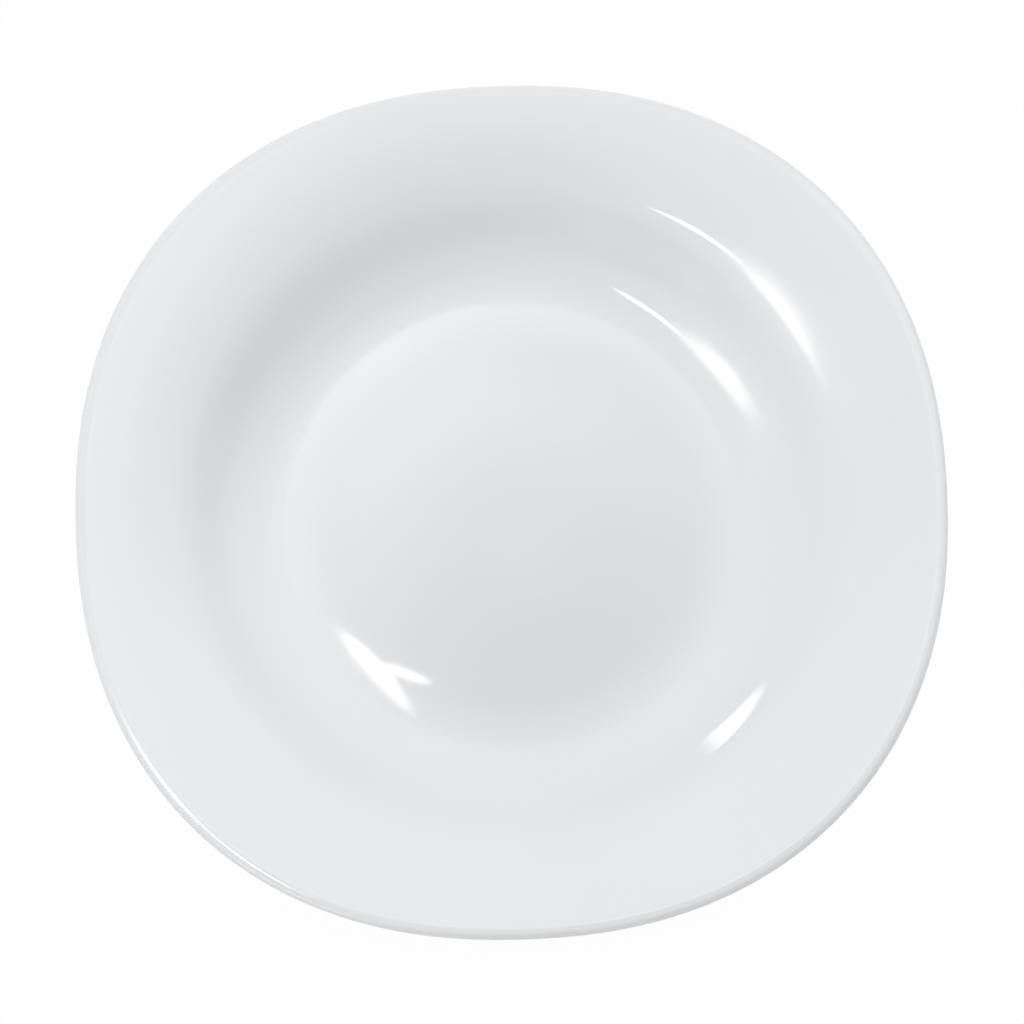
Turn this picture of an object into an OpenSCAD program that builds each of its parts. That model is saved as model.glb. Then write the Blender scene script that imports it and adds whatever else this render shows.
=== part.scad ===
// Rimmed soup plate, pressed in one piece of white opal glass.
// A round well opens through a soft shoulder into a rim whose lip is a square with round sides.
// Millimetres, +Z up. The origin is the middle of the ring on which the plate stands.

/* [Outline] */
// Breadth of the plate across its four flat sides
plate_w = 230; // [190:1:290]
// How far each soft corner stands out past a round plate of that breadth
corner_swell = 4.3; // [0:0.1:12]
// Height of the lip above the table
plate_h = 32.3; // [30.3:0.5:42]

/* [Rim] */
// Breadth of the rim, from the lip in to where its line meets the line of the wall
rim_w = 28.8; // [24:0.2:34]
// Rise of the rim from there to the lip
rim_rise = 9.1; // [7:0.1:11]
// Crown of the rim above a straight line from its inner edge to the lip
rim_crown = 1.2; // [0.4:0.05:1.5]
// Radius that rounds the crown
crown_r = 105; // [10:5:160]
// Radius of the round shoulder between the wall and the rim
shoulder_r = 36; // [10:1:60]
// Thickness of the glass at the lip
rim_t = 4.3; // [3.9:0.1:6]
// Radius of the rolled upper side of the lip
lip_r = 2.6; // [2:0.1:2.7]

/* [Well] */
// Breadth of the steep upper wall
wall_w = 10.8; // [9:0.2:15]
// Radius of the hollow curve at the foot of the upper wall
hollow_r = 36; // [10:1:60]
// Breadth of the gentler lower wall
slope_w = 9; // [7:0.2:12]
// Rise of the lower wall
slope_h = 3.8; // [3:0.1:4.4]
// Radius of the hollow curve at the foot of the lower wall
basin_r = 45; // [10:1:60]
// Breadth of the ramp that climbs from the edge of the floor
ramp_w = 5.8; // [4.6:0.2:8]
// Rise of the ramp
ramp_h = 1.5; // [1.1:0.1:1.9]
// Radius of the crease where the floor meets the ramp
crease_r = 16; // [2:1:30]

/* [Floor and foot] */
// Breadth of the flat middle of the floor
flat_w = 14; // [6:1:40]
// Rise of the dished floor from its middle to the crease
dish_h = 3.5; // [1.5:0.1:4]
// Thickness of the glass in the middle of the floor
floor_t = 4.2; // [3:0.1:6]
// Height of the underside of the floor above the table, in the middle
foot_h = 2.2; // [1.4:0.1:4]
// How far the outside of the foot ring stands in from the crease of the floor
foot_inset = 3.6; // [1:0.1:8]
// Breadth of the flat land on which the foot ring stands
foot_land_w = 3.4; // [2.6:0.1:6]
// Radius that rounds both edges of the land
foot_edge_r = 0.9; // [0.3:0.1:1.2]
// Radius of the hollow curve at the root of the foot ring
foot_root_r = 1.8; // [0.5:0.1:2.4]

/* [Hidden] */

// Colour of the glass
glass_colour = "#e9ebec";
// Points round each ring of the shell
round_count = 112;
// Steps along each curve of the section
dish_steps = 4;
crease_steps = 2;
basin_steps = 2;
hollow_steps = 3;
shoulder_steps = 3;
crown_steps = 3;
lip_steps = 4;
foot_steps = 6;
$fn = round_count;

// Slope of the foot ring's flanks
flank_angle = 68;
// How far the root of the foot ring runs sideways, and how deep its end sinks into the glass
root_run = 2.6;
root_bite = 1.2;

// Corners of the inner face before they are rounded, each [radius, height]
floor_z = foot_h + floor_t;
mouth = [plate_w / 2 - rim_w, plate_h - rim_rise];
hollow = [mouth[0] - wall_w, floor_z + dish_h + ramp_h + slope_h];
basin = [hollow[0] - slope_w, floor_z + dish_h + ramp_h];
crease = [basin[0] - ramp_w, floor_z + dish_h];
middle = [flat_w / 2, floor_z];

// The dish is one arc from the flat middle to just short of the crease
dish = [(middle[0] + crease[0]) / 2, floor_z];
dish_reach = dish[0] - middle[0] - 2 * reach(dish, crease, basin, crease_r);
dish_r = dish_reach / tan(slope_of(dish, crease) / 2);

// The crown of the rim stands square off the line from the mouth of the well to the lip
lip_centre = [plate_w / 2 - lip_r, plate_h - lip_r];
lip_top = [lip_centre[0], plate_h];
rim_run = lip_top - mouth;
crown = (mouth + lip_top) / 2 + rim_crown * [-rim_run[1], rim_run[0]] / norm(rim_run);

// The rim runs on from the crown until it touches the circle of the lip
lip_reach = lip_centre - crown;
lip_angle = atan2(lip_reach[1], lip_reach[0]) + asin(lip_r / norm(lip_reach));
lip_start = lip_centre + lip_r * up_from(lip_angle);

// The tighter underside of the lip, sized so that the rim keeps its thickness
under_r = (rim_t - lip_r * (1 + sin(lip_angle))) / (1 - sin(lip_angle));
under_centre = lip_centre + [lip_r - under_r, 0];

// Unit direction that points up and square to a line of the given slope
function up_from(slope) = [-sin(slope), cos(slope)];

// Slope of the line from one point to another
function slope_of(from, to) = atan2(to[1] - from[1], to[0] - from[0]);

// An arc of a given centre and radius, between two slopes, as [radius, height, slope] points.
// The side is 1 where the line turns left on its way and -1 where it turns right.
function arc(centre, radius, side, slope_a, slope_b, steps) = [
    for (i = [0:steps])
        let (slope = slope_a + (slope_b - slope_a) * i / steps,
             place = centre - side * radius * up_from(slope))
        [place[0], place[1], slope]
];

// A list without its first point, for an arc that goes on from the one before it
function without_first(points) = [for (i = [1:len(points) - 1]) points[i]];

// How far along its lines an arc of a given radius takes to round the corner between them
function reach(before, at, after, radius) =
    radius * tan(abs(slope_of(at, after) - slope_of(before, at)) / 2);

// A corner between two straight lines, rounded by an arc that touches both
function corner(before, at, after, radius, steps) =
    let (slope_a = slope_of(before, at),
         slope_b = slope_of(at, after),
         side = sign(slope_b - slope_a),
         start = at - reach(before, at, after, radius) * [cos(slope_a), sin(slope_a)])
    arc(start + side * radius * up_from(slope_a), radius, side, slope_a, slope_b, steps);

// A path with every corner rounded. Where a line is too short for the two arcs at its ends,
// both give way alike.
function rounded(path, radii, steps) =
    let (last = len(path) - 1,
         wanted = [for (i = [0:last])
             i == 0 || i == last ? 0 : reach(path[i - 1], path[i], path[i + 1], radii[i])],
         fit = [for (i = [0:last - 1])
             min(1, norm(path[i + 1] - path[i]) / (wanted[i] + wanted[i + 1]))])
    [for (i = [1:last - 1])
        each corner(path[i - 1], path[i], path[i + 1],
                    radii[i] * min(fit[i - 1], fit[i]), steps[i])];

// Inner face from the edge of the flat floor to the start of the lip
inner_face = rounded(
    [middle, dish, crease, basin, hollow, mouth, crown, lip_start],
    [0, dish_r, crease_r, basin_r, hollow_r, shoulder_r, crown_r, 0],
    [0, dish_steps, crease_steps, basin_steps, hollow_steps, shoulder_steps, crown_steps, 0]
);

// Rolled lip: up to its top, down to its widest point, and back under the rim
lip = concat(
    arc(lip_centre, lip_r, -1, lip_angle, 0, 1),
    without_first(arc(lip_centre, lip_r, -1, 0, -90, lip_steps)),
    without_first(arc(under_centre, under_r, -1, -90, lip_angle - 180, lip_steps))
);

// How far along the section a radius lies, from the flat floor to the lip
function along_share(radius) =
    (radius - inner_face[0][0]) / (lip_start[0] - inner_face[0][0]);

// How much of the square form a radius takes: none up to the middle of the wall, all of it
// at the lip, and an even blend between them
square_from = (hollow[0] + mouth[0]) / 2;
function square_share(radius) =
    let (share = max(0, min(1, (radius - square_from) / (lip_start[0] - square_from))))
    share * share * (3 - 2 * share);

// Outer face: each point of the inner face, one thickness of glass below it
function below(point) =
    let (thickness = floor_t + (rim_t - floor_t) * along_share(point[0]))
    [point[0], point[1]] - thickness * up_from(point[2]);

// The whole section as rings of [radius, height, share of the square form]
section = concat(
    [for (point = inner_face) [point[0], point[1], square_share(point[0])]],
    [for (point = lip) [point[0], point[1], 1]],
    [for (i = [len(inner_face) - 1:-1:0])
        let (point = below(inner_face[i]))
        [point[0], point[1], square_share(inner_face[i][0])]]
);

// The square form is a superellipse whose power follows from the swell of its corners
corner_ratio = 1 + corner_swell / (plate_w / 2);
square_power = 1 / (1 / 2 - ln(corner_ratio) / ln(2));
function square_radius(angle) =
    pow(pow(abs(cos(angle)), square_power) + pow(abs(sin(angle)), square_power), -1 / square_power);

// One point of the shell: a ring of the section, turned to an angle
function shell_point(ring, angle) =
    let (radius = ring[0] * (1 + ring[2] * (square_radius(angle) - 1)))
    [radius * cos(angle), radius * sin(angle), ring[1]];

// Height of the outer face at a radius
outer_heights = [for (point = inner_face) below(point)];
function outer_height(radius) = radius < outer_heights[0][0] ? foot_h : lookup(radius, outer_heights);

// Glass shell without its foot, lofted ring by ring from the floor over the lip to the underside
module shell() {
    last = len(section) - 1;
    points = [
        for (ring = section)
            for (i = [0:round_count - 1]) shell_point(ring, 360 * i / round_count)
    ];
    floor_face = [for (i = [round_count - 1:-1:0]) i];
    under_face = [for (i = [0:round_count - 1]) last * round_count + i];
    sides = [
        for (ring = [0:last - 1])
            for (i = [0:round_count - 1])
                let (next = (i + 1) % round_count,
                     a = ring * round_count + i,
                     b = ring * round_count + next,
                     c = (ring + 1) * round_count + next,
                     d = (ring + 1) * round_count + i)
                each [[a, b, c], [a, c, d]]
    ];
    polyhedron(points, concat([floor_face, under_face], sides));
}

// Foot ring with a flat land, rounded edges and a hollow root that runs into the glass
module foot_ring() {
    outer_land = [crease[0] - foot_inset, 0];
    inner_land = [outer_land[0] - foot_land_w, 0];
    outer_root_r = outer_land[0] + outer_height(outer_land[0]) / tan(flank_angle);
    inner_root_r = inner_land[0] - outer_height(inner_land[0]) / tan(flank_angle);
    outer_root = [outer_root_r, outer_height(outer_root_r)];
    inner_root = [inner_root_r, outer_height(inner_root_r)];
    outer_top = [outer_root_r + root_run, outer_height(outer_root_r + root_run) + root_bite];
    inner_top = [inner_root_r - root_run, outer_height(inner_root_r - root_run) + root_bite];
    outline = concat(
        [inner_top],
        rounded(
            [inner_top, inner_root, inner_land, outer_land, outer_root, outer_top],
            [0, foot_root_r, foot_edge_r, foot_edge_r, foot_root_r, 0],
            [0, foot_steps, foot_steps, foot_steps, foot_steps, 0]
        ),
        [outer_top]
    );
    rotate_extrude() polygon([for (point = outline) [point[0], point[1]]]);
}

// Whole plate
module plate() {
    color(glass_colour) union() {
        shell();
        foot_ring();
    }
}

plate();
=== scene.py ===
"""Looks of a rimmed soup plate, pressed in one piece of white opal glass.

The plate is spun from the corners of its section, its rings are rounded, and its rim is
then drawn out into a square with round sides. Sizes are in millimetres until a mesh is
built, and meshes are in metres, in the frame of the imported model: +Z up, origin in the
middle of the foot ring.
"""

import logging
import math
from dataclasses import dataclass, field
from enum import Enum

import bmesh
import bpy
from mathutils import Matrix, Vector

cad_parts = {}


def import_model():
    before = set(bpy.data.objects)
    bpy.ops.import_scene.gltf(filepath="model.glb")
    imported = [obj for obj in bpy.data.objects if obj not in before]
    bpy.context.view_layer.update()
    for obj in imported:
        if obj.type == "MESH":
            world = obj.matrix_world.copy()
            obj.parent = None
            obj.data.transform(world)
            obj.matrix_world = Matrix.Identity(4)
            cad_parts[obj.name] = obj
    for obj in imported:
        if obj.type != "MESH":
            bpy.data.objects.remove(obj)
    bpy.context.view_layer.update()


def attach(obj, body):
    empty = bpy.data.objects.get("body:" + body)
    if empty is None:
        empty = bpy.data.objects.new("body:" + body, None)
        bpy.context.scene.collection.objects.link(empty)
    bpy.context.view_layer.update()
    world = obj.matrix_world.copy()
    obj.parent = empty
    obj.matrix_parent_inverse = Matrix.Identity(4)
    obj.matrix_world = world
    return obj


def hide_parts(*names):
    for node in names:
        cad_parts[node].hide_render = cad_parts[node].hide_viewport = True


# One millimetre, in metres
MM = 0.001
# Vertices closer than this become one, and a shorter straight run isn't drawn, in millimetres
MERGE_MM = 0.001
SHORTEST_RUN_MM = 0.01
LOG = logging.getLogger("soup_plate")


# ---------------------------------------------------------------- shared helpers


def linear_colour(hex_code: str) -> tuple[float, float, float, float]:
    """Turn an sRGB hex colour into the linear colour that a shader takes.

    Args:
        hex_code: Six hex digits after a hash sign.

    Returns:
        Red, green, blue and an alpha of 1.
    """
    shares = [int(hex_code[i:i + 2], 16) / 255 for i in (1, 3, 5)]
    red, green, blue = (
        share / 12.92 if share <= 0.04045 else ((share + 0.055) / 1.055) ** 2.4 for share in shares
    )
    return red, green, blue, 1.0


def add_node(
    tree: bpy.types.NodeTree,
    kind: str,
    settings: dict[str, object] | None = None,
    inputs: dict[str | int, object] | None = None,
) -> bpy.types.Node:
    """Add one node, set its properties, and set or link its inputs.

    Args:
        tree: Node tree that gets the node.
        kind: Type name of the node.
        settings: Property names and their values.
        inputs: Input names or numbers, each with a value or with an output socket to link.

    Returns:
        The new node.
    """
    node = tree.nodes.new(kind)
    for name, value in (settings or {}).items():
        setattr(node, name, value)
    for name, value in (inputs or {}).items():
        if isinstance(value, bpy.types.NodeSocket):
            tree.links.new(value, node.inputs[name])
        else:
            node.inputs[name].default_value = value
    return node


def direction(azimuth: float, zenith: float) -> Vector:
    """Unit vector at an azimuth from +X and an angle from straight up, both in degrees."""
    a, z = math.radians(azimuth), math.radians(zenith)
    return Vector((math.sin(z) * math.cos(a), math.sin(z) * math.sin(a), math.cos(z)))


def turned_basis(right: Vector, up: Vector, back: Vector) -> Matrix:
    """Rotation whose local X, Y and Z axes are the three given directions."""
    return Matrix((right, up, back)).transposed()


# ---------------------------------------------------------------- finish


@dataclass(frozen=True)
class OpalGlass:
    """White opal glass, pressed hot and fire-polished, then toughened.

    Fine crystals in the melt scatter the light, so the body is a dense, slightly cool white.
    The skin is as smooth as the flame left it: sharp reflections, with a slow waviness where
    the mould met the glass. The ripple, at 0.7 thousandths of a millimetre, and the wave, at
    12 thousandths, are as high as they need to be to show in a reflection.
    """

    name: str = "opal_glass_fire_polished"
    body_hex: str = "#E8E9EA"
    cloud_hex: str = "#E5E7E8"
    # Painted shade: a greyer base colour over the hollow of the foot, and the radii over which it
    # fades in
    painted_shade_hex: str = "#DDDEDF"
    painted_shade_mm: tuple[float, float] = (64.0, 46.0)
    roughness: float = 0.035
    worn_roughness: float = 0.34
    ior: float = 1.51
    wave_mm: float = 26.0
    wave_height_mm: float = 0.012
    ripple_mm: float = 3.2
    ripple_height_mm: float = 0.0007
    cloud_mm: float = 60.0
    scuff_mm: float = 0.9
    worn_height_mm: float = 0.25

    def material(self) -> bpy.types.Material:
        """Build the node material.

        Returns:
            The material, in which every pattern runs on Object coordinates.
        """
        material = bpy.data.materials.new(self.name)
        material.use_nodes = True
        tree = material.node_tree
        tree.nodes.clear()
        place = add_node(tree, "ShaderNodeTexCoord").outputs["Object"]

        # The melt is never quite even: broad, faint clouds of a greyer white
        clouds = add_node(tree, "ShaderNodeTexNoise", inputs={
            "Vector": place, "Scale": 1 / (self.cloud_mm * MM), "Detail": 2.0, "Roughness": 0.5,
        })
        body = add_node(tree, "ShaderNodeMix", {"data_type": "RGBA"}, {
            0: clouds.outputs["Fac"],
            6: linear_colour(self.body_hex),
            7: linear_colour(self.cloud_hex),
        })

        # Painted shade: the glass lets a little light through, and over the hollow of the foot
        # none comes up
        # # from the table, so the base colour of the floor is painted a shade greyer there than
        # the wall and the rim
        parts = add_node(tree, "ShaderNodeSeparateXYZ", inputs={0: place})
        level = add_node(tree, "ShaderNodeCombineXYZ", inputs={
            0: parts.outputs["X"], 1: parts.outputs["Y"],
        })
        radius = add_node(tree, "ShaderNodeVectorMath", {"operation": "LENGTH"}, {
            0: level.outputs[0],
        })
        # Share of the painted shade: none outside the foot, all of it over the middle of the floor
        painted_shade_share = add_node(tree, "ShaderNodeMapRange", {"interpolation_type": "SMOOTHSTEP"}, {
            "Value": radius.outputs["Value"],
            "From Min": self.painted_shade_mm[0] * MM, "From Max": self.painted_shade_mm[1] * MM,
            "To Min": 0.0, "To Max": 1.0,
        })
        body = add_node(tree, "ShaderNodeMix", {"data_type": "RGBA"}, {
            0: painted_shade_share.outputs["Result"],
            6: body.outputs[2],
            7: linear_colour(self.painted_shade_hex),
        })

        # Standing wear: the land of the foot loses its polish in small scuffs
        height = parts.outputs["Z"]
        low = add_node(tree, "ShaderNodeMapRange", {"interpolation_type": "SMOOTHSTEP"}, {
            "Value": height,
            "From Min": self.worn_height_mm * MM, "From Max": 0.0,
            "To Min": 0.0, "To Max": 1.0,
        })
        scuffs = add_node(tree, "ShaderNodeTexNoise", inputs={
            "Vector": place, "Scale": 1 / (self.scuff_mm * MM), "Detail": 3.0, "Roughness": 0.6,
        })
        worn = add_node(tree, "ShaderNodeMath", {"operation": "MULTIPLY"}, {
            0: low.outputs["Result"], 1: scuffs.outputs["Fac"],
        })
        roughness = add_node(tree, "ShaderNodeMapRange", inputs={
            "Value": worn.outputs[0],
            "From Min": 0.0, "From Max": 0.6,
            "To Min": self.roughness, "To Max": self.worn_roughness,
        })

        # Fire polish: a slow wave as wide as a fingertip, and a finer ripple on it that
        # breaks the edge of a reflection
        wave = add_node(tree, "ShaderNodeTexNoise", inputs={
            "Vector": place, "Scale": 1 / (self.wave_mm * MM), "Detail": 1.0, "Roughness": 0.4,
        })
        slow = add_node(tree, "ShaderNodeBump", inputs={
            "Strength": 1.0, "Distance": self.wave_height_mm * MM, "Height": wave.outputs["Fac"],
        })
        ripple = add_node(tree, "ShaderNodeTexNoise", inputs={
            "Vector": place, "Scale": 1 / (self.ripple_mm * MM), "Detail": 1.0, "Roughness": 0.5,
        })
        skin = add_node(tree, "ShaderNodeBump", inputs={
            "Strength": 1.0, "Distance": self.ripple_height_mm * MM,
            "Height": ripple.outputs["Fac"], "Normal": slow.outputs["Normal"],
        })

        shader = add_node(tree, "ShaderNodeBsdfPrincipled", inputs={
            "Base Color": body.outputs[2],
            "Roughness": roughness.outputs["Result"],
            "IOR": self.ior,
            "Normal": skin.outputs["Normal"],
        })
        add_node(tree, "ShaderNodeOutputMaterial", inputs={"Surface": shader.outputs[0]})
        return material


# ---------------------------------------------------------------- plate


@dataclass(frozen=True)
class Ring:
    """One corner of the section, with the arc that rounds it."""

    radius: float
    height: float
    round_r: float = 0.0
    segments: int = 1

    def slope_to(self, other: "Ring") -> float:
        """Slope of the line to another ring, in radians."""
        return math.atan2(other.height - self.height, other.radius - self.radius)

    def turn(self, before: "Ring", after: "Ring") -> float:
        """How far the section turns at this ring, in radians, to the left when above zero."""
        change = self.slope_to(after) - before.slope_to(self)
        return (change + math.pi) % (2 * math.pi) - math.pi

    def reach(self, before: "Ring", after: "Ring") -> float:
        """How far along its lines the arc of this ring reaches from the corner."""
        return self.round_r * math.tan(abs(self.turn(before, after)) / 2)

    def towards(self, other: "Ring", share: float) -> "Ring":
        """A plain ring part of the way to another one."""
        return Ring(
            self.radius + share * (other.radius - self.radius),
            self.height + share * (other.height - self.height),
        )

    def place(self) -> Vector:
        """Place of the ring in the X-Z plane, in metres."""
        return Vector((self.radius, 0.0, self.height)) * MM


def met(
    a: tuple[float, float], slope_a: float, b: tuple[float, float], slope_b: float
) -> tuple[float, float]:
    """Find where two lines of a section meet.

    Args:
        a: A point of the first line.
        slope_a: Slope of the first line, in radians.
        b: A point of the second line.
        slope_b: Slope of the second line, in radians.

    Returns:
        Radius and height of the meeting point.
    """
    run = math.sin(slope_b - slope_a)
    t = ((b[0] - a[0]) * math.sin(slope_b) - (b[1] - a[1]) * math.cos(slope_b)) / run
    return a[0] + t * math.cos(slope_a), a[1] + t * math.sin(slope_a)


@dataclass
class SoupPlate:
    """The whole plate: floor, well, shoulder, rim, rolled lip and foot ring, in one piece.

    Lengths are in millimetres and angles in degrees. The sizes down to flank_angle are those of
    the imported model. The lip's flat, the steps of the curves and the rest are the scene's own.
    """

    plate_w: float = 230.0
    corner_swell: float = 4.3
    plate_h: float = 32.3
    rim_w: float = 28.8
    rim_rise: float = 9.1
    rim_crown: float = 1.2
    crown_r: float = 105.0
    shoulder_r: float = 36.0
    rim_t: float = 4.3
    lip_r: float = 2.6
    wall_w: float = 10.8
    hollow_r: float = 36.0
    slope_w: float = 9.0
    slope_h: float = 3.8
    basin_r: float = 45.0
    ramp_w: float = 5.8
    ramp_h: float = 1.5
    crease_r: float = 16.0
    flat_w: float = 14.0
    dish_h: float = 3.5
    floor_t: float = 4.2
    foot_h: float = 2.2
    foot_inset: float = 3.6
    foot_land_w: float = 3.4
    foot_edge_r: float = 0.9
    foot_root_r: float = 1.8
    flank_angle: float = 68.0
    lip_flat_tilt: float = 17.8
    lip_flat_turn: float = 3.0
    lip_flat_r: float = 19.0
    lip_flat_dip: float = 0.1
    flat_shares: tuple[float, float] = (0.33, 0.66)
    dish_steps: int = 8
    crease_steps: int = 3
    wall_steps: int = 5
    lip_steps: tuple[int, int, int, int] = (4, 2, 5, 5)
    foot_steps: int = 3
    under_dish_steps: int = 6
    around: int = 192
    subdivisions: int = 1
    mouth: Ring = field(init=False)
    hollow: Ring = field(init=False)
    basin: Ring = field(init=False)
    crease: Ring = field(init=False)
    middle: Ring = field(init=False)
    dish: Ring = field(init=False)
    crown: Ring = field(init=False)
    lip_slope: float = field(init=False)
    lip_start: tuple[float, float] = field(init=False)
    square_from: float = field(init=False)
    square_power: float = field(init=False)

    def __post_init__(self) -> None:
        """Work out the corners of the section that several methods need."""
        floor_z = self.foot_h + self.floor_t
        crease_z = floor_z + self.dish_h
        basin_z = crease_z + self.ramp_h
        mouth_r = self.plate_w / 2 - self.rim_w
        hollow_r = mouth_r - self.wall_w
        basin_r = hollow_r - self.slope_w
        crease_r = basin_r - self.ramp_w
        mouth_z = self.plate_h - self.rim_rise
        self.mouth = Ring(mouth_r, mouth_z, self.shoulder_r, self.wall_steps)
        self.hollow = Ring(hollow_r, basin_z + self.slope_h, self.hollow_r, self.wall_steps)
        self.basin = Ring(basin_r, basin_z, self.basin_r, self.crease_steps)
        self.crease = Ring(crease_r, crease_z, self.crease_r, self.crease_steps)
        self.middle = Ring(0.0, floor_z)
        self.dish = self.dish_corner(floor_z)
        lip_centre = (self.plate_w / 2 - self.lip_r, self.plate_h - self.lip_r)
        run = (lip_centre[0] - mouth_r, self.rim_rise)
        length = math.hypot(*run)
        self.crown = Ring(
            (mouth_r + lip_centre[0]) / 2 - self.rim_crown * run[1] / length,
            (self.mouth.height + self.plate_h) / 2 + self.rim_crown * run[0] / length,
            self.crown_r, self.wall_steps,
        )

        # The rim runs on from the crown until it touches the circle of the lip
        reach = (lip_centre[0] - self.crown.radius, lip_centre[1] - self.crown.height)
        aside = math.asin(self.lip_r / math.hypot(*reach))
        self.lip_slope = math.atan2(reach[1], reach[0]) + aside
        self.lip_start = (
            lip_centre[0] - self.lip_r * math.sin(self.lip_slope),
            lip_centre[1] + self.lip_r * math.cos(self.lip_slope),
        )
        self.square_from = (hollow_r + mouth_r) / 2
        ratio = 1 + self.corner_swell / (self.plate_w / 2)
        self.square_power = 1 / (1 / 2 - math.log2(ratio))

    def dish_corner(self, floor_z: float) -> Ring:
        """Find the corner whose one long arc dishes the floor.

        Args:
            floor_z: Height of the flat middle of the floor.

        Returns:
            The corner, with an arc that runs from the flat middle to just short of the crease.
        """
        start = self.flat_w / 2
        corner = Ring((start + self.crease.radius) / 2, floor_z)
        reach = corner.radius - start - 2 * self.crease.reach(corner, self.basin)
        dish_r = reach / math.tan(corner.slope_to(self.crease) / 2)
        return Ring(corner.radius, floor_z, dish_r, self.dish_steps)

    def flat_edge(self) -> Ring:
        """The plain ring where the flat middle of the floor ends and the dish begins."""
        reach = self.dish.reach(self.middle, self.crease)
        return Ring(self.dish.radius - reach, self.middle.height)

    def inner_rings(self) -> list[Ring]:
        """Corners of the inner face, from the dish of the floor to the crown of the rim."""
        return [self.dish, self.crease, self.basin, self.hollow, self.mouth, self.crown]

    def lip_rings(self) -> list[Ring]:
        """Corners of the lip, each with the arc that rolls it.

        The roll keeps to the circle of the lip within a tenth of a millimetre. A nearly flat
        band on its outer slope catches the long highlight that runs round such a lip.

        Returns:
            The corners over the rim, on the flat band, at the edge, and under the edge.
        """
        edge = self.plate_w / 2
        tilt, half = math.radians(self.lip_flat_tilt), math.radians(self.lip_flat_turn / 2)
        away = self.lip_r - self.lip_flat_dip
        flat = (
            edge - self.lip_r + away * math.sin(tilt),
            self.plate_h - self.lip_r + away * math.cos(tilt),
        )
        top = met(self.lip_start, self.lip_slope, flat, half - tilt)
        side = met(flat, -half - tilt, (edge, 0.0), -math.pi / 2)

        # The arc over the rim just reaches the plate's height, and the one at the edge starts
        # where the band ends
        half_turn = (self.lip_slope + tilt - half) / 2
        lean = (tilt - half - self.lip_slope) / 2
        top_r = (top[1] - self.plate_h) / (math.cos(lean) / math.cos(half_turn) - 1)
        room = math.dist(flat, side) - self.lip_flat_r * math.tan(half)
        side_r = room / math.tan((math.pi / 2 - tilt - half) / 2)

        # The underside of the lip keeps the thickness of the rim
        upper_z = self.lip_start[1] + (edge - self.lip_start[0]) * math.tan(self.lip_slope)
        lower_z = upper_z - self.rim_t / math.cos(self.lip_slope)
        sine = math.sin(self.lip_slope)
        under_r = (self.rim_t - self.lip_r * (1 + sine)) / (1 - sine)
        top_steps, flat_steps, side_steps, under_steps = self.lip_steps
        return [
            Ring(*top, top_r, top_steps),
            Ring(*flat, self.lip_flat_r, flat_steps),
            Ring(*side, side_r, side_steps),
            Ring(edge, lower_z, under_r, under_steps),
        ]

    def thickness(self, radius: float) -> float:
        """Work out the thickness of the glass, which changes evenly from the floor to the lip.

        Args:
            radius: Radius of a point of the inner face.

        Returns:
            Thickness of the glass under that point.
        """
        start = self.flat_w / 2
        share = max(0.0, (radius - start) / (self.lip_start[0] - start))
        return self.floor_t + (self.rim_t - self.floor_t) * share

    def under_rings(self) -> list[Ring]:
        """Corners of the underside, one thickness below the inner face, from the rim inwards.

        Returns:
            The rings under the crown, the mouth, the hollow, the basin and the crease, with
            arcs about the same centres and a step fewer than above.
        """
        path = [*self.inner_rings(), Ring(*self.lip_start)]
        rings = []
        for before, at, after in reversed(list(zip(path, path[1:], path[2:]))):
            low, high = before.slope_to(at), at.slope_to(after)
            thickness = self.thickness(at.radius)
            a = (at.radius + thickness * math.sin(low), at.height - thickness * math.cos(low))
            b = (at.radius + thickness * math.sin(high), at.height - thickness * math.cos(high))
            wider = thickness if high > low else -thickness
            rings.append(Ring(*met(a, low, b, high), at.round_r + wider, at.segments - 1))
        return rings

    def foot_rings(self) -> list[Ring]:
        """Corners of the foot ring and of the dished underside within it.

        Returns:
            Outer root, both edges of the land, inner root, and the corner of the dish.
        """
        outer = self.crease.radius - self.foot_inset
        inner = outer - self.foot_land_w
        flank = math.radians(self.flank_angle)
        edge_slope = self.dish.slope_to(self.crease)
        edge = (
            self.crease.radius + self.floor_t * math.sin(edge_slope),
            self.crease.height - self.floor_t * math.cos(edge_slope),
        )
        outer_root = met(edge, edge_slope, (outer, 0.0), flank)

        # Within the ring the underside keeps the dish's centre, so it starts on its arc
        under_r = self.dish.round_r + self.floor_t
        flat_edge = self.flat_edge().radius
        start = inner - 2 * self.foot_root_r
        slope = math.asin((start - flat_edge) / under_r)
        tip = (start, self.foot_h + under_r * (1 - math.cos(slope)))
        inner_root = met(tip, slope, (inner, 0.0), math.pi - flank)
        return [
            Ring(*outer_root, self.foot_root_r, self.foot_steps),
            Ring(outer, 0.0, self.foot_edge_r, self.foot_steps),
            Ring(inner, 0.0, self.foot_edge_r, self.foot_steps),
            Ring(*inner_root, self.foot_root_r, self.foot_steps),
            Ring(
                flat_edge + under_r * math.tan(slope / 2), self.foot_h,
                under_r, self.under_dish_steps,
            ),
        ]

    def section(self) -> list[Ring]:
        """The whole section, from the pole of the floor over the lip to the pole underneath."""
        flat_edge = self.flat_edge()
        return [
            self.middle,
            *(self.middle.towards(flat_edge, share) for share in self.flat_shares),
            *self.inner_rings(),
            *self.lip_rings(),
            *self.under_rings(),
            *self.foot_rings(),
            Ring(flat_edge.radius / 2, self.foot_h),
            Ring(0.0, self.foot_h),
        ]

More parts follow.
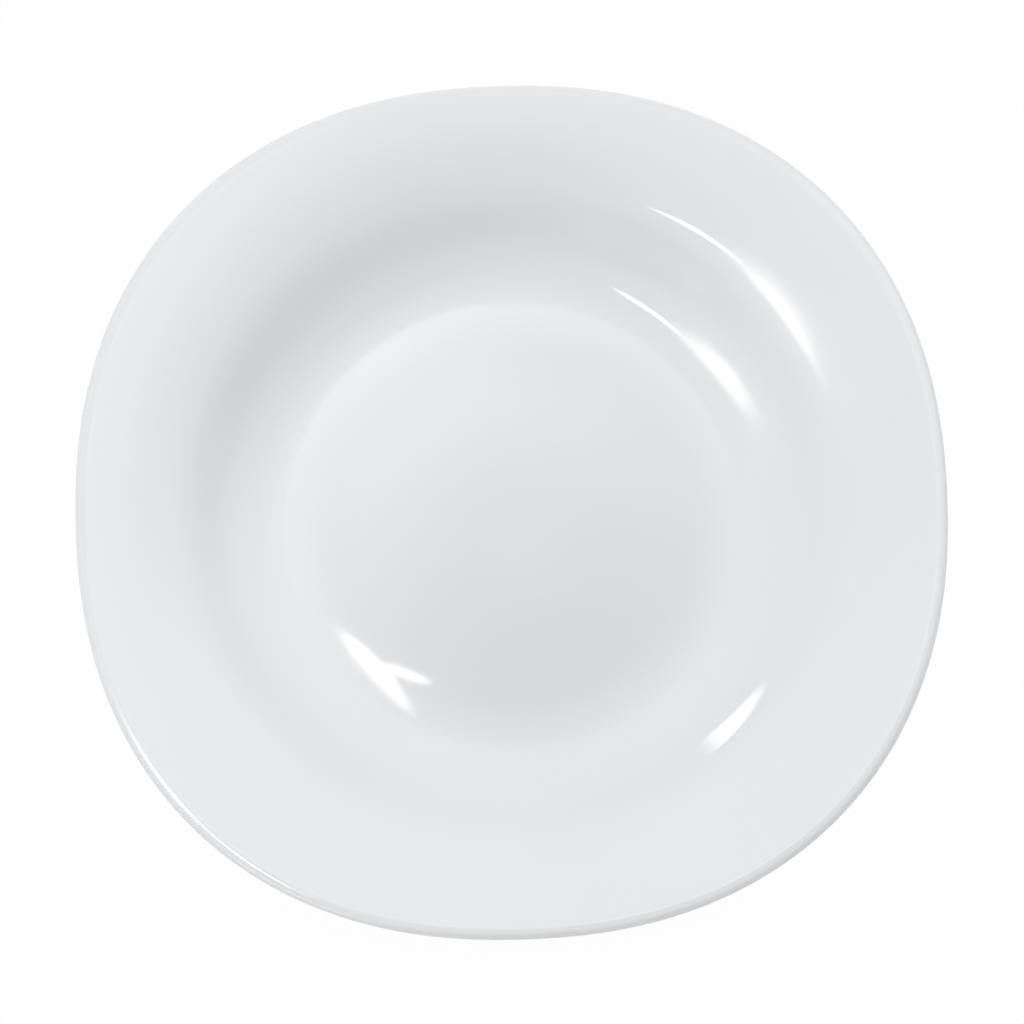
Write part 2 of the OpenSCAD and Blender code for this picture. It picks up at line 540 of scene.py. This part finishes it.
    def draw(self, bm: bmesh.types.BMesh, rings: list[Ring]) -> None:
        """Draw the section in the X-Z plane: straight runs, and an arc at each rounded corner.

        Args:
            bm: Empty mesh that gets the line.
            rings: Corners of the section. The first and the last stay plain.
        """
        tip = bm.verts.new(rings[0].place())
        for before, ring, after in zip(rings, rings[1:], rings[2:]):
            slope, turn = before.slope_to(ring), ring.turn(before, after)
            along = Vector((math.cos(slope), 0.0, math.sin(slope)))
            start = ring.place() - ring.reach(before, after) * MM * along
            tip = self.run(bm, tip, start)
            if ring.round_r > 0:
                left = Vector((-math.sin(slope), 0.0, math.cos(slope)))
                swept = bmesh.ops.spin(
                    bm, geom=[tip], cent=start + math.copysign(ring.round_r * MM, turn) * left,
                    axis=(0, -1, 0), angle=turn, steps=ring.segments,
                )
                tip = next(
                    item for item in swept["geom_last"] if isinstance(item, bmesh.types.BMVert)
                )
        self.run(bm, tip, rings[-1].place())

    def run(
        self, bm: bmesh.types.BMesh, tip: bmesh.types.BMVert, end: Vector
    ) -> bmesh.types.BMVert:
        """Draw one straight run on from the tip of the line.

        Args:
            bm: Mesh that holds the line.
            tip: Last vertex of the line.
            end: Where the run ends, in metres.

        Returns:
            The new tip, or the old one where the run is too short to draw.
        """
        if (end - tip.co).length < SHORTEST_RUN_MM * MM:
            return tip
        corner = bm.verts.new(end)
        bm.edges.new((tip, corner))
        return corner

    def square_share(self, radius: float) -> float:
        """Blend from the round well to the square lip.

        Args:
            radius: Radius of a ring of the section.

        Returns:
            How much of the square form the ring takes: none in the well, all of it at the lip.
        """
        share = (radius - self.square_from) / (self.lip_start[0] - self.square_from)
        share = max(0.0, min(1.0, share))
        return share * share * (3 - 2 * share)

    def square_radius(self, angle: float) -> float:
        """Radius of the unit square form, a superellipse, at an angle in radians."""
        power = self.square_power
        return (abs(math.cos(angle)) ** power + abs(math.sin(angle)) ** power) ** (-1 / power)

    def mesh(self) -> bpy.types.Mesh:
        """Draw the section, spin it, and draw the rim out into its square form.

        Returns:
            The closed mesh, in metres, with its faces pointing outwards.
        """
        bm = bmesh.new()
        self.draw(bm, self.section())
        bmesh.ops.spin(
            bm, geom=bm.verts[:] + bm.edges[:], cent=(0, 0, 0), axis=(0, 0, 1),
            angle=2 * math.pi, steps=self.around, use_merge=True,
        )
        bmesh.ops.remove_doubles(bm, verts=bm.verts, dist=MERGE_MM * MM)
        for vert in bm.verts:
            self.square_vert(vert)
        bmesh.ops.recalc_face_normals(bm, faces=bm.faces)
        for face in bm.faces:
            face.smooth = True
        mesh = bpy.data.meshes.new("plate_glass")
        bm.to_mesh(mesh)
        bm.free()
        return mesh

    def square_vert(self, vert: bmesh.types.BMVert) -> None:
        """Move one vertex of the round plate out to the square form, as far as its radius asks.

        Args:
            vert: Vertex of the spun mesh, in metres.
        """
        radius = vert.co.xy.length
        share = self.square_share(radius / MM)
        if share > 0:
            swell = 1 + share * (self.square_radius(math.atan2(vert.co.y, vert.co.x)) - 1)
            vert.co.x *= swell
            vert.co.y *= swell

    def build(self, finish: OpalGlass) -> bpy.types.Object:
        """Make the plate's object and dress it.

        Args:
            finish: Glass of the plate.

        Returns:
            The object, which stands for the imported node.
        """
        plate = bpy.data.objects.new("soup_plate_glass", self.mesh())
        bpy.context.scene.collection.objects.link(plate)
        smooth = plate.modifiers.new("smooth_glass", "SUBSURF")
        smooth.levels = smooth.render_levels = self.subdivisions
        plate.data.materials.append(finish.material())
        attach(plate, "root")
        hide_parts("plate")
        return plate


# ---------------------------------------------------------------- studio


class LightForm(Enum):
    """Outline of a studio light."""

    BOX = "RECTANGLE"
    OVAL = "ELLIPSE"


@dataclass(frozen=True)
class SoftLight:
    """A studio light that faces the plate, placed by its direction as seen from the plate.

    Azimuth, zenith and turn are in degrees, distance and the two sizes in metres, and radiance
    in watts for each square metre and steradian. The fade is a share of the half width and half
    length, of which an oval uses the first. A light for sheen only adds nothing to the body.
    """

    name: str
    azimuth: float
    zenith: float
    distance: float
    width: float
    length: float
    radiance: float
    turn: float = 0.0
    form: LightForm = LightForm.BOX
    fade: tuple[float, float] = (0.3, 0.3)
    sheen_only: bool = False

    def edge(
        self, tree: bpy.types.NodeTree, away: bpy.types.NodeSocket, fade: float
    ) -> bpy.types.NodeSocket:
        """Fade from full light to none over the outer share of the way to the edge.

        Args:
            tree: Node tree of the light.
            away: Way from the middle of the light, 1 at its edge.
            fade: Share of that way over which the light fades.

        Returns:
            Socket with the level of light.
        """
        return add_node(tree, "ShaderNodeMapRange", {"interpolation_type": "SMOOTHSTEP"}, {
            "Value": away, "From Min": 1.0, "From Max": 1.0 - fade, "To Min": 0.0, "To Max": 1.0,
        }).outputs["Result"]

    def spread(self, tree: bpy.types.NodeTree) -> None:
        """Let the light's cloth fade towards its edges, as a softbox with one bulb does.

        Args:
            tree: Node tree of the light.
        """
        tree.nodes.clear()
        cloth = add_node(tree, "ShaderNodeNewGeometry").outputs["Parametric"]
        centred = add_node(tree, "ShaderNodeVectorMath", {"operation": "MULTIPLY_ADD"}, {
            0: cloth, 1: (2.0, 2.0, 0.0), 2: (-1.0, -1.0, 0.0),
        }).outputs[0]
        if self.form is LightForm.OVAL:
            away = add_node(tree, "ShaderNodeVectorMath", {"operation": "LENGTH"}, {0: centred})
            level = self.edge(tree, away.outputs["Value"], self.fade[0])
        else:
            sides = add_node(tree, "ShaderNodeVectorMath", {"operation": "ABSOLUTE"}, {0: centred})
            parts = add_node(tree, "ShaderNodeSeparateXYZ", inputs={0: sides.outputs[0]})
            level = add_node(tree, "ShaderNodeMath", {"operation": "MULTIPLY"}, {
                0: self.edge(tree, parts.outputs["X"], self.fade[0]),
                1: self.edge(tree, parts.outputs["Y"], self.fade[1]),
            }).outputs[0]
        glow = add_node(tree, "ShaderNodeEmission", inputs={"Strength": level})
        add_node(tree, "ShaderNodeOutputLight", inputs={0: glow.outputs[0]})

    def build(self) -> bpy.types.Object:
        """Place the light.

        Returns:
            The light's object. Its power follows from its radiance and its area.
        """
        light = bpy.data.lights.new(self.name, "AREA")
        light.shape = self.form.value
        light.size = self.width
        light.size_y = self.length
        area = self.width * self.length * (math.pi / 4 if self.form is LightForm.OVAL else 1)
        light.energy = self.radiance * math.pi * area
        light.use_nodes = True
        self.spread(light.node_tree)
        lamp = bpy.data.objects.new(self.name, light)
        bpy.context.scene.collection.objects.link(lamp)
        way = direction(self.azimuth, self.zenith)
        level = Vector((0, 0, 1)).cross(way).normalized()
        lamp.location = way * self.distance
        lamp.rotation_euler = turned_basis(level, way.cross(level), way).to_euler()
        lamp.rotation_euler.rotate_axis("Z", math.radians(self.turn))
        lamp.visible_camera = False
        lamp.visible_diffuse = not self.sheen_only
        return lamp


@dataclass(frozen=True)
class RoomPatch:
    """A part of the room's walls and ceiling, with soft edges, lighter or darker than the rest.

    All angles are in degrees. The edge is half the width of the soft border, which lies on the
    reach. A change above zero is added to the level of the room, and one below zero takes that
    share off.
    """

    name: str
    azimuth: float
    zenith: float
    reach: float
    edge: float
    change: float

    def share(self, tree: bpy.types.NodeTree, way: bpy.types.NodeSocket) -> bpy.types.NodeSocket:
        """Work out how much of the patch lies in a direction.

        Args:
            tree: Node tree of the world.
            way: Direction that is looked in.

        Returns:
            Socket with 1 in the patch, 0 outside it, and a soft edge between them.
        """
        facing = add_node(tree, "ShaderNodeVectorMath", {"operation": "DOT_PRODUCT"}, {
            0: way, 1: direction(self.azimuth, self.zenith),
        })
        angle = add_node(tree, "ShaderNodeMath", {"operation": "ARCCOSINE"}, {
            0: facing.outputs["Value"],
        })
        inside = add_node(tree, "ShaderNodeMapRange", {"interpolation_type": "SMOOTHSTEP"}, {
            "Value": angle.outputs[0],
            "From Min": math.radians(self.reach + self.edge),
            "From Max": math.radians(self.reach - self.edge),
            "To Min": 0.0, "To Max": 1.0,
        })
        return inside.outputs["Result"]


@dataclass(frozen=True)
class Studio:
    """White room round the plate: its floor, its uneven light and its soft lights."""

    floor_size: float = 9.0
    floor_hex: str = "#EEEFF0"
    floor_white_share: float = 0.97
    room_hex: str = "#FBFCFD"
    room_level: float = 0.672

    # Lit ceiling and its slope, a white card low at the near left, and the haze round the side
    # strip. Then the dark places: the open side, round the camera, and a corner at the left
    patches: tuple[RoomPatch, ...] = (
        RoomPatch("lit_ceiling", azimuth=7.8, zenith=6.9, reach=9.0, edge=26.0, change=4.1),
        RoomPatch("lit_slope", azimuth=22.7, zenith=41.9, reach=27.6, edge=22.5, change=1.2),
        RoomPatch("low_card", azimuth=236.1, zenith=68.6, reach=14.0, edge=5.0, change=5.0),
        RoomPatch("strip_glow", azimuth=195.5, zenith=42.7, reach=9.9, edge=15.3, change=1.0),
        RoomPatch("dark_side", azimuth=304.5, zenith=78.5, reach=52.7, edge=26.0, change=-0.98),
        RoomPatch("dark_camera", azimuth=100.5, zenith=20.8, reach=8.9, edge=7.2, change=-1.0),
        RoomPatch("dark_corner", azimuth=233.8, zenith=57.3, reach=11.9, edge=5.0, change=-0.88),
    )

    # The side strip draws both long highlights on the right, and its core and tail the line
    # along the lip. The three overhead shapes make the forked one on the floor, and the low
    # strip the short bar on the wall
    lights: tuple[SoftLight, ...] = (
        SoftLight(
            "side_strip", azimuth=197.5, zenith=35.0, distance=3.0,
            width=1.45, length=0.70, radiance=7.0, turn=32.9,
            form=LightForm.OVAL, fade=(1.0, 0.0),
        ),
        SoftLight(
            "side_core", azimuth=197.5, zenith=35.0, distance=3.0,
            width=0.88, length=0.41, radiance=22.0, turn=32.9,
            form=LightForm.OVAL, fade=(0.5, 0.0), sheen_only=True,
        ),
        SoftLight(
            "side_tail", azimuth=222.1, zenith=30.4, distance=3.0,
            width=0.86, length=0.14, radiance=22.0, turn=2.1,
            form=LightForm.OVAL, fade=(1.0, 0.0), sheen_only=True,
        ),
        SoftLight(
            "overhead_body", azimuth=69.9, zenith=20.65, distance=3.0,
            width=0.24, length=0.055, radiance=8.0, turn=149.5,
            form=LightForm.OVAL, fade=(0.6, 0.0),
        ),
        SoftLight(
            "overhead_long", azimuth=70.3, zenith=20.95, distance=3.0,
            width=0.39, length=0.048, radiance=10.0, turn=149.4,
            form=LightForm.OVAL, fade=(0.6, 0.0),
        ),
        SoftLight(
            "overhead_fork", azimuth=74.9, zenith=20.6, distance=3.0,
            width=0.18, length=0.047, radiance=10.0, turn=176.2,
            form=LightForm.OVAL, fade=(0.6, 0.0),
        ),
        SoftLight(
            "low_strip", azimuth=128.7, zenith=78.9, distance=3.0,
            width=1.05, length=0.26, radiance=7.0,
            fade=(0.7, 0.6),
        ),
    )

    def floor(self) -> bpy.types.Object:
        """Lay the floor, white to the camera and keeping a faint shadow of the plate.

        Returns:
            The floor's object.
        """
        bm = bmesh.new()
        bmesh.ops.create_grid(bm, x_segments=1, y_segments=1, size=self.floor_size / 2)
        mesh = bpy.data.meshes.new("studio_floor")
        bm.to_mesh(mesh)
        bm.free()
        floor = bpy.data.objects.new("studio_floor", mesh)
        bpy.context.scene.collection.objects.link(floor)
        material = bpy.data.materials.new("matt_white_paper")
        material.use_nodes = True
        tree = material.node_tree
        tree.nodes.clear()
        path = add_node(tree, "ShaderNodeLightPath")
        seen = add_node(tree, "ShaderNodeMath", {"operation": "MAXIMUM"}, {
            0: path.outputs["Is Camera Ray"], 1: path.outputs["Is Glossy Ray"],
        })
        seen = add_node(tree, "ShaderNodeMath", {"operation": "MAXIMUM"}, {
            0: seen.outputs[0], 1: path.outputs["Is Transmission Ray"],
        })
        share = add_node(tree, "ShaderNodeMath", {"operation": "MULTIPLY"}, {
            0: seen.outputs[0], 1: self.floor_white_share,
        })
        paper = add_node(tree, "ShaderNodeBsdfDiffuse", inputs={
            "Color": linear_colour(self.floor_hex),
        })
        white = add_node(tree, "ShaderNodeEmission", inputs={
            "Color": (1, 1, 1, 1), "Strength": 1.0,
        })
        mixed = add_node(tree, "ShaderNodeMixShader", inputs={
            0: share.outputs[0], 1: paper.outputs[0], 2: white.outputs[0],
        })
        add_node(tree, "ShaderNodeOutputMaterial", inputs={"Surface": mixed.outputs[0]})
        floor.data.materials.append(material)
        return floor

    def room(self) -> bpy.types.World:
        """Light the room: one level all round, then its lighter patches, then its darker ones.

        Returns:
            The world, which the scene now uses.
        """
        world = bpy.data.worlds.new("white_room")
        bpy.context.scene.world = world
        world.use_nodes = True
        tree = world.node_tree
        tree.nodes.clear()
        way = add_node(tree, "ShaderNodeTexCoord").outputs["Generated"]
        level = self.room_level
        for patch in self.patches:
            share = patch.share(tree, way)
            if patch.change > 0:
                level = add_node(tree, "ShaderNodeMath", {"operation": "MULTIPLY_ADD"}, {
                    0: share, 1: patch.change, 2: level,
                }).outputs[0]
            else:
                kept = add_node(tree, "ShaderNodeMath", {"operation": "MULTIPLY_ADD"}, {
                    0: share, 1: patch.change, 2: 1.0,
                })
                level = add_node(tree, "ShaderNodeMath", {"operation": "MULTIPLY"}, {
                    0: kept.outputs[0], 1: level,
                }).outputs[0]
        lit = add_node(tree, "ShaderNodeBackground", inputs={
            "Color": linear_colour(self.room_hex), "Strength": level,
        })
        white = add_node(tree, "ShaderNodeBackground", inputs={
            "Color": (1, 1, 1, 1), "Strength": 1.0,
        })
        path = add_node(tree, "ShaderNodeLightPath")
        mixed = add_node(tree, "ShaderNodeMixShader", inputs={
            0: path.outputs["Is Camera Ray"], 1: lit.outputs[0], 2: white.outputs[0],
        })
        add_node(tree, "ShaderNodeOutputWorld", inputs={"Surface": mixed.outputs[0]})
        return world

    def build(self) -> None:
        """Put up the floor, the room and the lights."""
        self.floor()
        self.room()
        for light in self.lights:
            light.build()
            LOG.info("light %s", light.name)


@dataclass(frozen=True)
class PhotoCamera:
    """Long lens, leaning a little off the plumb line over the plate.

    Tilt, lean and roll are in degrees. The frame is the breadth that the picture takes in at
    the height of the lip, at which the camera aims.
    """

    tilt: float = 12.0
    lean: float = 272.0
    roll: float = 1.87
    distance_mm: float = 2300.0
    frame_mm: float = 269.65
    across_mm: float = 0.22
    along_mm: float = -1.42
    aim_height_mm: float = 32.3
    sensor_mm: float = 36.0
    clip_m: tuple[float, float] = (0.05, 40.0)

    def build(self) -> bpy.types.Object:
        """Place the camera and make it the scene's.

        Returns:
            The camera's object.
        """
        back = direction(self.lean, self.tilt)
        roll = math.radians(90 - self.roll)
        level_up = Vector((math.cos(roll), math.sin(roll), 0.0))
        turned = Vector((0, 0, 1)).rotation_difference(back)
        up = (turned @ level_up).normalized()
        right = up.cross(back).normalized()
        aim = Vector((0, 0, self.aim_height_mm)) + right * self.across_mm + up * self.along_mm
        lens = bpy.data.cameras.new("long_lens")
        lens.sensor_width = self.sensor_mm
        lens.lens = self.sensor_mm * self.distance_mm / self.frame_mm
        lens.clip_start, lens.clip_end = self.clip_m
        lens.dof.use_dof = False
        camera = bpy.data.objects.new("photo_camera", lens)
        bpy.context.scene.collection.objects.link(camera)
        camera.location = (aim + back * self.distance_mm) * MM
        camera.rotation_euler = turned_basis(right, up, back).to_euler()
        bpy.context.scene.camera = camera
        return camera


# ---------------------------------------------------------------- build


def main() -> None:
    """Build the camera, then the plate, then the studio."""
    logging.basicConfig(level=logging.INFO, format="%(name)s: %(message)s")
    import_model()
    bpy.context.scene.view_settings.view_transform = "Standard"
    PhotoCamera().build()
    plate = SoupPlate().build(OpalGlass())
    LOG.info("%s: %d faces before subdivision", plate.name, len(plate.data.polygons))
    Studio().build()


if __name__ == "__main__":
    main()
